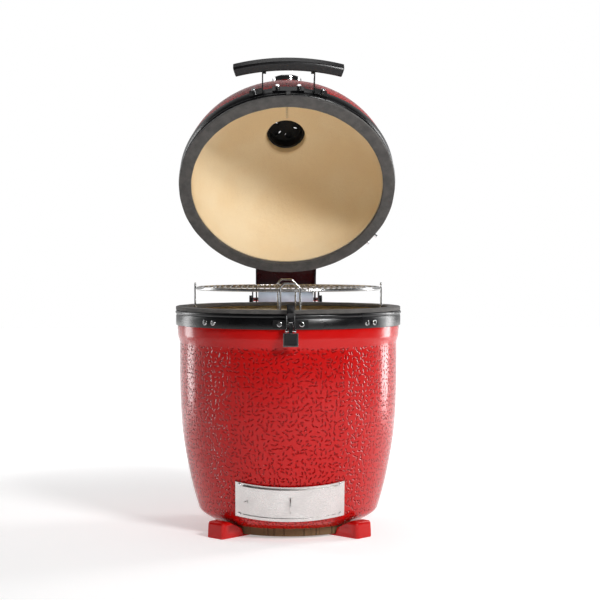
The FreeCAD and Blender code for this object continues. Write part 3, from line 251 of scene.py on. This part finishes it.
# ---------------------------------------------------------------- pot
# Thick cast ceramic with a straight collar and a bare foot ring. Outside it carries a deep
# red glaze with a hammered skin below the collar; inside it is bare cream ceramic.

pot_low, pot_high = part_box("base_shell")
rim_radius = pot_high.x
rim_height = pot_high.z
bare_below = 0.0225
collar_foot = rim_height - 0.059


def smooth_curve(points, steps=10):
    """Catmull-Rom curve through points: each run is a cubic whose end slopes are half the
    step between the neighbours on either side."""
    points = np.asarray(points, float)
    ends = np.vstack([2 * points[0] - points[1], points, 2 * points[-1] - points[-2]])
    a, b, c, d = ends[:-3], ends[1:-2], ends[2:-1], ends[3:]
    t = np.linspace(0, 1, steps, endpoint=False)[:, None, None]
    curve = 0.5 * (2 * b + (c - a) * t + (2 * a - 5 * b + 4 * c - d) * t ** 2
                   + (3 * b - a - 3 * c + d) * t ** 3)
    return np.vstack([curve.transpose(1, 0, 2).reshape(-1, points.shape[1]), points[-1:]])


def grid_faces(rows, columns):
    """Quads between neighbours of a grid whose rows and columns both close on themselves."""
    row = np.arange(rows)[:, None]
    column = np.arange(columns)[None, :]
    below = row * columns
    above = (row + 1) % rows * columns
    right = (column + 1) % columns
    quads = np.stack([below + column, below + right, above + right, above + column], -1)
    return quads.reshape(-1, 4).tolist()


def rounded(corners, radius, steps=4):
    """Polygon with each corner replaced by a quadratic bend that starts radius before it."""
    corners = np.asarray(corners, float)
    before = np.roll(corners, 1, 0) - corners
    after = np.roll(corners, -1, 0) - corners
    near = np.linalg.norm(before, axis=1, keepdims=True)
    far = np.linalg.norm(after, axis=1, keepdims=True)
    reach = np.minimum(np.broadcast_to(np.reshape(radius, (-1, 1)), near.shape),
                       0.45 * np.minimum(near, far))
    start = corners + before / near * reach
    end = corners + after / far * reach
    t = np.linspace(0, 1, steps)[None, :, None]
    bend = ((1 - t) ** 2 * start[:, None] + 2 * t * (1 - t) * corners[:, None]
            + t ** 2 * end[:, None])
    return bend.reshape(-1, corners.shape[1])


def turned(name, profile, finish, place=None):
    """Profile of (radius, height) carried round the vertical axis: x = r sin a, y = -r cos a."""
    sides = 288
    angle = np.linspace(0, 2 * np.pi, sides, endpoint=False)
    points = np.stack([profile[:, :1] * np.sin(angle), -profile[:, :1] * np.cos(angle),
                       np.repeat(profile[:, 1:], sides, 1)], -1)
    return plain_mesh(name, moved(points, place), grid_faces(len(profile), sides), finish)


def moved(points, place):
    """Points carried by a 4 x 4 placement."""
    if place is None:
        return points
    matrix = np.array(place)
    return points @ matrix[:3, :3].T + matrix[:3, 3]


def unrolled(piece, along, place=None, cap=False):
    """Adds the UV map "skin" in metres. On a drum u is angle times 0.25 and v the length up the
    side; on a cap the length from its crown is laid out as a radius, so that it has no seam."""
    mesh = piece.data
    points = np.zeros(len(mesh.vertices) * 3)
    mesh.vertices.foreach_get("co", points)
    points = moved(points.reshape(-1, 3), place)
    corner_point = np.zeros(len(mesh.loops), np.int32)
    mesh.loops.foreach_get("vertex_index", corner_point)
    totals = np.zeros(len(mesh.polygons), np.int32)
    mesh.polygons.foreach_get("loop_total", totals)
    face_of = np.repeat(np.arange(len(totals)), totals)
    x, y, z = points[corner_point].T
    middle_x = np.bincount(face_of, x) / totals
    middle_y = np.bincount(face_of, y) / totals
    middle = np.arctan2(middle_x, -middle_y)[face_of]
    angle = np.arctan2(x, -y)
    angle = middle + (angle - middle + np.pi) % (2 * np.pi) - np.pi
    length = along(np.hypot(x, y), z)
    if cap:
        flat = np.stack([length * np.sin(angle), length * np.cos(angle)], -1)
    else:
        flat = np.stack([0.25 * angle, length], -1)
    mesh.uv_layers.new(name="skin").data.foreach_set("uv", flat.ravel())


def hammered(place):
    """Short dents in every direction, one in each cell of a scattered lattice: the distance
    from the cell's centre, turned by the cell's own angle, is measured in an oval."""
    skin = place.add("ShaderNodeUVMap", {"uv_map": "skin"}, {}, "UV")
    cells = {"voronoi_dimensions": "2D", "feature": "F1"}
    cells_per_metre = 92.0
    lattice = {"Vector": skin, "Scale": cells_per_metre, "Randomness": 0.72}
    centre = place.add("ShaderNodeTexVoronoi", cells, lattice, "Position")
    chance = place.add("ShaderNodeTexVoronoi", cells, lattice, "Color")
    offset = place.add("ShaderNodeVectorMath", {"operation": "SUBTRACT"}, {0: skin, 1: centre})
    across = place.add("ShaderNodeSeparateXYZ", {}, {"Vector": offset}, "X")
    up = place.add("ShaderNodeSeparateXYZ", {}, {"Vector": offset}, "Y")
    turn = place.add("ShaderNodeSeparateColor", {}, {"Color": chance}, "Red") * math.tau
    stretch = place.add("ShaderNodeSeparateColor", {}, {"Color": chance}, "Green")
    cosine = turn.math("COSINE")
    sine = turn.math("SINE")
    half_length = 0.0036 + stretch * 0.0022
    half_width = 0.0018
    long_way = (across * cosine + up * sine) / half_length
    short_way = (up * cosine - across * sine) / half_width
    oval = (long_way * long_way + short_way * short_way).math("SQRT")
    return oval.ramp(0.25, 1.15, 1, 0)


def glaze(name, dents_below=None, dented=True, bare=False):
    """Deep red glaze over clay: glassy, with painted shade that darkens it a little in the
    dents.
    """
    material, place = new_finish(name)
    height = place.add("ShaderNodeSeparateXYZ", {}, {"Vector": place}, "Z")
    red = place.noise(9, 3).mix(linear(186, 11, 10), linear(196, 15, 13))
    rough = place.noise(240, 2).ramp(0.3, 0.7, 0.13, 0.22)
    bumps = [(place.noise(300, 1), 0.00005), (place.noise(28, 2), 0.0006)]
    if dented:
        dents = hammered(place)
        if dents_below is not None:
            dents = dents * height.ramp(dents_below - 0.003, dents_below + 0.001, 1, 0)
        # Painted shade: the red is darkened a little towards deep maroon inside each dent.
        red = (dents * 0.22).mix(red, linear(112, 3, 5))
        bumps.append((1 - dents, 0.005))
    coat = 0.08
    if bare:
        edge = height + place.noise(60, 2) * 0.003
        clay = edge.ramp(bare_below + 0.0009, bare_below + 0.0019, 1, 0)
        grain = place.noise(700, 3).mix(linear(96, 76, 50), linear(130, 104, 74))
        red = clay.mix(red, grain)
        rough = clay * (0.85 - rough) + rough
        coat = coat * (1 - clay)
    return close_finish(material, red, rough, bumps, specular_ior_level=0.28,
                        coat_weight=coat, coat_roughness=0.05, coat_ior=1.5)


def bare_ceramic(name):
    """Cream fire clay: matt, speckled, a little darker where the glaze fumed it."""
    material, place = new_finish(name)
    cloud = place.noise(6, 4).ramp(0.3, 0.7)
    cream = cloud.mix(linear(241, 215, 172), linear(247, 228, 192))
    speck = place.noise(900, 2).ramp(0.62, 0.72)
    cream = (speck * 0.5).mix(cream, linear(170, 138, 105))
    return close_finish(material, cream, 0.8,
                        [(place.noise(120, 4), 0.0006), (place.noise(900, 2), 0.00012)])


pot_glaze = glaze("pot_glaze", dents_below=collar_foot - 0.018, bare=True)
inner_clay = bare_ceramic("inner_clay")

foot_ring_outer = rim_radius - 0.090
foot_ring_inner = foot_ring_outer - 0.026
wall = 0.027
pot_outside = smooth_curve([
    (rim_radius - 0.085, 0.0235), (rim_radius - 0.0565, 0.042), (rim_radius - 0.0475, 0.061),
    (rim_radius - 0.0355, 0.104), (rim_radius - 0.026, 0.147), (rim_radius - 0.0153, 0.205),
    (rim_radius - 0.009, 0.263), (rim_radius - 0.0057, 0.354),
    (rim_radius - 0.0053, collar_foot - 0.017)])
pot_collar = rounded([
    (rim_radius - 0.0053, collar_foot - 0.0165), (rim_radius - 0.0002, collar_foot),
    (rim_radius, rim_height), (rim_radius - wall, rim_height)], 0.004)[4:-4]
pot_inside = smooth_curve([
    (rim_radius - wall - 0.001, collar_foot), (rim_radius - wall - 0.0053, collar_foot - 0.016),
    (0.2300, 0.30), (0.2110, 0.147), (0.1980, 0.092), (0.1700, 0.0555)])
pot_foot = [(0.0, 0.055), (0.0, 0.030), (foot_ring_inner, 0.030),
            (foot_ring_inner, pot_low.z + 0.001), (foot_ring_inner + 0.001, pot_low.z),
            (foot_ring_outer - 0.002, pot_low.z), (foot_ring_outer, pot_low.z + 0.002),
            (foot_ring_outer, 0.0215), (foot_ring_outer + 0.0015, 0.0228)]
pot_profile = np.vstack([pot_outside, pot_collar, pot_inside, pot_foot])
pot = turned("pot", pot_profile, pot_glaze)
pot.data.materials.append(inner_clay)
side_run = np.concatenate([[0], np.cumsum(np.hypot(*np.diff(pot_outside, axis=0).T))])
unrolled(pot, lambda radius, height: np.interp(height, pot_outside[:, 1], side_run))


def paint_inside(piece, inside):
    """Gives the second material to faces whose centre satisfies inside(centres)."""
    centres = np.zeros(len(piece.data.polygons) * 3)
    piece.data.polygons.foreach_get("center", centres)
    chosen = inside(centres.reshape(-1, 3)).astype(np.int32)
    piece.data.polygons.foreach_set("material_index", chosen)


def within_pot(centres):
    radius = np.hypot(centres[:, 0], centres[:, 1])
    wall_line = np.interp(centres[:, 2], pot_outside[:, 1], pot_outside[:, 0]) - 0.008
    return (radius < np.minimum(wall_line, rim_radius - 0.008)) & (centres[:, 2] > 0.052)


paint_inside(pot, within_pot)
cutter = plain_mesh("window_cutter", np.array([
    [x, y, z] for x in (-0.1, 0.1) for y in (-0.3, -0.12) for z in (0.061, 0.111)]),
    [[0, 1, 3, 2], [4, 6, 7, 5], [0, 4, 5, 1], [2, 3, 7, 6], [0, 2, 6, 4], [1, 5, 7, 3]],
    inner_clay)
cut = pot.modifiers.new("window", "BOOLEAN")
cut.object = cutter
cut.solver = "EXACT"


def bake_modifiers(piece):
    """Replaces a piece's mesh by what its modifiers make of it."""
    graph = bpy.context.evaluated_depsgraph_get()
    made = bpy.data.meshes.new_from_object(piece.evaluated_get(graph), depsgraph=graph)
    piece.modifiers.clear()
    piece.data = made


bake_modifiers(pot)
bpy.data.objects.remove(cutter)
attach(pot, "base")
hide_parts("base_shell")


# ---------------------------------------------------------------- feet
# Three glazed ceramic blocks under the pot. The foot ring stands in a notch at their inner
# end, and only the rounded outer ends show.

foot_glaze = glaze("foot_glaze", dented=False)


def refined(node, finish, bevel=0.0004):
    """A copy of a CAD piece with its edges eased, which stands for that piece."""
    sharp = math.radians(35)
    source = frame["nodes"][node]
    mesh = source.data.copy()
    work = bmesh.new()
    work.from_mesh(mesh)
    bmesh.ops.remove_doubles(work, verts=work.verts, dist=1e-6)
    bmesh.ops.dissolve_limit(work, angle_limit=math.radians(0.5), verts=work.verts,
                             edges=work.edges)
    work.to_mesh(mesh)
    work.free()
    mesh.shade_smooth()
    mesh.set_sharp_from_angle(angle=sharp)
    mesh.materials.clear()
    mesh.materials.append(finish)
    piece = bpy.data.objects.new(f"{node}_finished", mesh)
    bpy.context.scene.collection.objects.link(piece)
    if bevel:
        ease = piece.modifiers.new("eased_edges", "BEVEL")
        ease.width = bevel
        ease.segments = 3
        ease.limit_method = "ANGLE"
        ease.angle_limit = sharp
        ease.harden_normals = True
    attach(piece, source["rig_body"])
    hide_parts(node)
    return piece


for foot in ("foot_front_left", "foot_front_right", "foot_rear"):
    refined(foot, foot_glaze, 0.002)


# ---------------------------------------------------------------- rim gaskets
# Dense grey felt rings glued to the rims of pot and lid. They are a little wavy.

def felt(name, low_colour, high_colour):
    """Pressed felt: mottled grey with fine crossed fibres."""
    material, place = new_finish(name)
    mottle = place.noise(45, 4, 0.6).ramp(0.3, 0.7)
    fibre = place.noise(900, 3, 0.7, stretch=(1, 0.25, 1))
    cross = place.noise(900, 3, 0.7, stretch=(0.25, 1, 1))
    fibres = fibre * 0.5 + cross * 0.5
    shade = (mottle * 0.3 + fibres * 0.7).ramp(0.2, 0.8)
    return close_finish(material, shade.mix(low_colour, high_colour), 0.95,
                        [(mottle, 0.0004), (fibres, 0.0004)],
                        sheen_weight=0.1, sheen_roughness=0.6)


hinge = next(joint for joint in frame["joints"] if joint["name"] == "lid_hinge")
hinge_point = Vector(hinge["pos_m"])
open_turn = (Matrix.Translation(hinge_point)
             @ Matrix.Rotation(math.radians(hinge["range_deg"][0]), 4, "X")
             @ Matrix.Translation(-hinge_point))
rim_felt = felt("rim_felt", linear(68, 66, 65), linear(92, 89, 86))
felt_thickness = 0.009
felt_outer = rim_radius + 0.0042
felt_inner = felt_outer - 0.030
shut_gap = 0.0005


def felt_ring(name, low, finish, place=None):
    """Flat ring whose surface wanders by a few tenths of a millimetre: the sum of slow waves
    round the ring, different on its two faces."""
    profile = rounded([(felt_inner, low), (felt_outer, low), (felt_outer, low + felt_thickness),
                       (felt_inner, low + felt_thickness)], 0.0022, 5)
    sides = 480
    angle = np.linspace(0, 2 * np.pi, sides, endpoint=False)
    wave = (np.sin(7 * angle + 1) + np.sin(13 * angle + 2.1) + np.sin(29 * angle)) / 3
    radius = profile[:, :1] + 0.0006 * wave
    sag = 0.0003 * np.sin(11 * angle + 0.7) * (profile[:, 1:] > low + felt_thickness / 2)
    points = np.stack([radius * np.sin(angle), -radius * np.cos(angle),
                       profile[:, 1:] - np.abs(sag)], -1)
    return plain_mesh(name, moved(points, place),
                      grid_faces(len(profile), sides), finish, 60)


base_felt = felt_ring("base_felt", rim_height, rim_felt)
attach(base_felt, "base")
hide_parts("base_gasket")
lid_face = rim_height + felt_thickness + shut_gap
lid_felt = felt_ring("lid_felt", lid_face, rim_felt, open_turn)
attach(lid_felt, "lid")
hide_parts("lid_gasket")


# ---------------------------------------------------------------- bands
# Steel hoops clamped round both collars, rolled to a round lip at the rim and powder coated
# black.

def powder_coat(name, colour=(0.0035, 0.0035, 0.004), rough=0.27):
    """Sprayed and baked powder: satin with a fine even orange peel."""
    material, place = new_finish(name)
    peel = place.noise(1500, 1)
    shade = place.noise(14, 2).ramp(0.3, 0.7)
    lighter = tuple(1.6 * channel + 0.002 for channel in colour)
    return close_finish(material, shade.mix(colour, lighter),
                        shade.ramp(0, 1, rough - 0.04, rough + 0.05), [(peel, 0.00008)])


black_coat = powder_coat("black_coat")
lip_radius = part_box("base_band")[1].x
band_radius = lip_radius - 0.0015
lid_rim = lid_face + felt_thickness


def band_profile(rim, side):
    """Section of a band; side is 1 where it climbs away from the rim and -1 where it drops."""
    roll = np.radians(np.linspace(70, -70, 9))
    lip = np.stack([lip_radius - 0.005 + 0.005 * np.cos(roll),
                    rim + side * (0.005 - 0.005 * np.sin(roll))], -1)
    body = rounded([(band_radius, rim + side * 0.012), (band_radius, rim + side * 0.035),
                    (rim_radius + 0.0002, rim + side * 0.035)], 0.0008, 3)[2:-2]
    inside = [(rim_radius + 0.0002, rim + side * 0.034), (rim_radius + 0.0002, rim)]
    return np.vstack([lip, body, inside])


for hoop_name, node, rim, side, body, place in (
        ("base_hoop", "base_band", rim_height, -1, "base", None),
        ("lid_hoop", "lid_band", lid_rim, 1, "lid", open_turn)):
    hoop = turned(hoop_name, band_profile(rim, side), black_coat, place)
    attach(hoop, body)
    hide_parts(node)


# ---------------------------------------------------------------- lid
# Ceramic dome, glazed red and hammered outside, bare cream clay inside. A round hole at its
# top takes the vent.

dome_height = 0.252
dome_collar = 0.034
dome_fullness = 1.8
vent_bore = 0.050


def dome_curve(inset, steps=56):
    """Quarter of a superellipse from the collar to the vent hole: (r/R)^n + (h/H)^n = 1."""
    wide = rim_radius - inset
    tall = dome_height - inset - dome_collar
    end = math.acos((vent_bore / wide) ** (dome_fullness / 2))
    turn = np.linspace(0, end, steps)
    radius = wide * np.cos(turn) ** (2 / dome_fullness)
    height = tall * np.sin(turn) ** (2 / dome_fullness)
    return np.stack([radius, lid_rim + dome_collar + height], -1)


outer_dome = dome_curve(0)
inner_dome = dome_curve(wall)
soft = 0.009
lip_turn = np.radians(np.linspace(180, 270, 7))
keep = inner_dome[:, 0] > vent_bore + soft
lip_foot = np.interp(vent_bore + soft, inner_dome[::-1, 0], inner_dome[::-1, 1])
bore_lip = np.stack([vent_bore + soft + soft * np.cos(lip_turn),
                     lip_foot + soft + soft * np.sin(lip_turn)], -1)
dome_profile = np.vstack([
    [(rim_radius - wall, lid_rim), (rim_radius, lid_rim)], outer_dome[:-1],
    [(vent_bore + 0.002, outer_dome[-1, 1]), (vent_bore, outer_dome[-1, 1] - 0.002)],
    bore_lip, inner_dome[keep][::-1]])
dome_glaze = glaze("dome_glaze")
dome = turned("dome", dome_profile, dome_glaze, open_turn)
dome.data.materials.append(inner_clay)
shut_turn = np.array(open_turn.inverted())
crown_run = np.concatenate([[0], np.cumsum(np.hypot(*np.diff(outer_dome[::-1], axis=0).T))])
crown_key = (outer_dome[:, 1] - outer_dome[:, 0])[::-1]
unrolled(dome, lambda radius, height: vent_bore + np.interp(
    -(height - radius), -crown_key, crown_run), shut_turn, cap=True)


def within_dome(centres):
    shut = centres @ shut_turn[:3, :3].T + shut_turn[:3, 3]
    radius = np.hypot(shut[:, 0], shut[:, 1])
    reach = np.interp(radius, outer_dome[::-1, 0], outer_dome[::-1, 1])
    low = (shut[:, 2] < lid_rim + dome_collar) & (radius < rim_radius - 0.008)
    high = (shut[:, 2] >= lid_rim + dome_collar) & (shut[:, 2] < reach - 0.008)
    return low | (high & (radius < rim_radius - 0.004))


paint_inside(dome, within_dome)
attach(dome, "lid")
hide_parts("lid_dome")


# ---------------------------------------------------------------- fire parts
# A thick fire clay bowl and ring stand inside the pot, and a cast iron grate lies in the bowl
# under the charcoal.

fire_clay = bare_ceramic("fire_clay")
dark_iron = powder_coat("dark_iron", (0.02, 0.02, 0.021), 0.55)
refined("firebox", fire_clay)
refined("fire_ring", fire_clay)
refined("charcoal_grate", dark_iron)


# ---------------------------------------------------------------- cooking rack
# Welded stainless wire. Its lower ring rests on the fire ring, and two half-moon grates lie in
# its upper one.

def brushed(name, colour, rough=0.28, stretch=(0.02, 1, 1), scale=900, depth=0.00002):
    """Ground sheet or wire: long fine scratches one way."""
    material, place = new_finish(name)
    lines = place.noise(scale, 3, 0.6, stretch=stretch)
    cloud = place.noise(18, 2)
    tone = (lines * 0.6 + cloud * 0.4).ramp(0.3, 0.7)
    darker = tuple(0.82 * channel for channel in colour)
    return close_finish(material, tone.mix(darker, colour),
                        tone.ramp(0, 1, rough + 0.06, rough - 0.05), [(lines, depth)],
                        metallic=1.0)


stainless_wire = brushed("stainless_wire", (0.60, 0.60, 0.60), 0.2, (1, 1, 1), 300)
for node in ("cooking_rack", "grate_left", "grate_right"):
    refined(node, stainless_wire, 0)


# ---------------------------------------------------------------- draft door and ash drawer
# Brushed stainless sheet. The frame is screwed to the pot over soft packing; the door slides
# across the front of the ash drawer, whose tray runs on rails inside the pot.

stainless_sheet = brushed("stainless_sheet", (0.80, 0.78, 0.765), 0.3)
chrome = brushed("polished_chrome", (0.80, 0.80, 0.81), 0.08, (1, 1, 1), 60, 0.000005)
packing = felt("packing", (0.02, 0.02, 0.02), (0.05, 0.05, 0.05))
for node in ("draft_frame", "drawer_front", "draft_door"):
    refined(node, stainless_sheet, 0.0003)
for node in ("draft_pull", "draft_stop", "ash_tray", "drawer_rails"):
    refined(node, stainless_sheet)
refined("draft_gasket", packing)
refined("draft_screws", chrome, 0.0012)


# ---------------------------------------------------------------- hinge
# Pressed steel brackets bolted to both bands, round a barrel, pin and two lift springs. The
# brackets and nuts are coated black and the barrel pale grey.

grey_coat = powder_coat("grey_coat", linear(176, 184, 196), 0.42)
bright_steel = brushed("bright_steel", (0.70, 0.70, 0.71), 0.22, (1, 1, 1), 500)
for node in ("hinge_base_bracket", "lid_hinge_bracket", "hinge_nuts"):
    refined(node, black_coat)
refined("hinge_barrel", grey_coat, 0.001)
refined("hinge_pin", chrome)
refined("lift_springs", bright_steel)
for node in ("hinge_base_bolts", "lid_hinge_bolts"):
    refined(node, chrome, 0.0022)


# ---------------------------------------------------------------- latch
# A black plate on the base band carries a chromed lever with a black grip pad. The lever pulls
# a chromed wire bail, whose flat hook is dipped black, down over the lid's black keeper.

handle_finish = powder_coat("handle_finish", (0.004, 0.0035, 0.004), 0.3)
for node in ("latch_plate", "latch_keeper"):
    refined(node, black_coat)
refined("latch_lever", chrome, 0.0008)
refined("latch_pad", handle_finish, 0.0016)
bail = refined("latch_bail", chrome)
bail.data.materials.append(handle_finish)
hook_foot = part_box("latch_bail")[1].z - 0.0305
paint_inside(bail, lambda centres: centres[:, 2] > hook_foot)
for node in ("latch_pin", "bail_pin"):
    refined(node, chrome)
refined("latch_bolts", chrome, 0.0022)
refined("keeper_bolts", chrome, 0.003)


# ---------------------------------------------------------------- shelf bolts and side plate
# Domed bolts in pairs on the base band, where side shelves would be fixed. A small black plate
# on the right of the lid's band carries two bright studs.

refined("shelf_bolts", chrome, 0.0022)
refined("side_plate", black_coat)
refined("side_bolts", chrome, 0.001)


# ---------------------------------------------------------------- handle
# A bowed black bar on two thin steel arms, which are bolted to the lid's band.

refined("handle_bar", handle_finish, 0.0018)
for node in ("handle_arm_left", "handle_arm_right"):
    refined(node, black_coat)
refined("handle_bolts", chrome, 0.003)


# ---------------------------------------------------------------- thermometer
# A chromed case with a white dial, red needle and glass. Its steel stem passes through the
# dome and is held by a nut inside.

red_paint = powder_coat("red_paint", (0.5, 0.02, 0.02), 0.4)
white_paint = powder_coat("white_paint", (0.75, 0.75, 0.73), 0.4)
clear_glass, glass_place = new_finish("clear_glass")
close_finish(clear_glass, (0.95, 0.97, 0.97), glass_place.noise(40, 2).ramp(0, 1, 0.02, 0.05),
             transmission_weight=1.0, ior=1.45)
refined("thermometer_case", chrome, 0.0005)
refined("thermometer_dial", white_paint)
refined("thermometer_needle", red_paint)
refined("thermometer_glass", clear_glass)
for node in ("thermometer_stem", "thermometer_nut"):
    refined(node, bright_steel)


# ---------------------------------------------------------------- top vent
# A cast collar sits in the dome's hole on soft packing. The cap swings aside on a screw, and a
# wheel with a knob turns on it to close its ports.

vent_black = powder_coat("vent_black", (0.002, 0.002, 0.002), 0.7)
for node in ("vent_collar", "vent_cap", "vent_wheel"):
    refined(node, vent_black)
refined("vent_knob", vent_black, 0.0012)
refined("vent_gasket", packing)
refined("vent_screw", chrome)
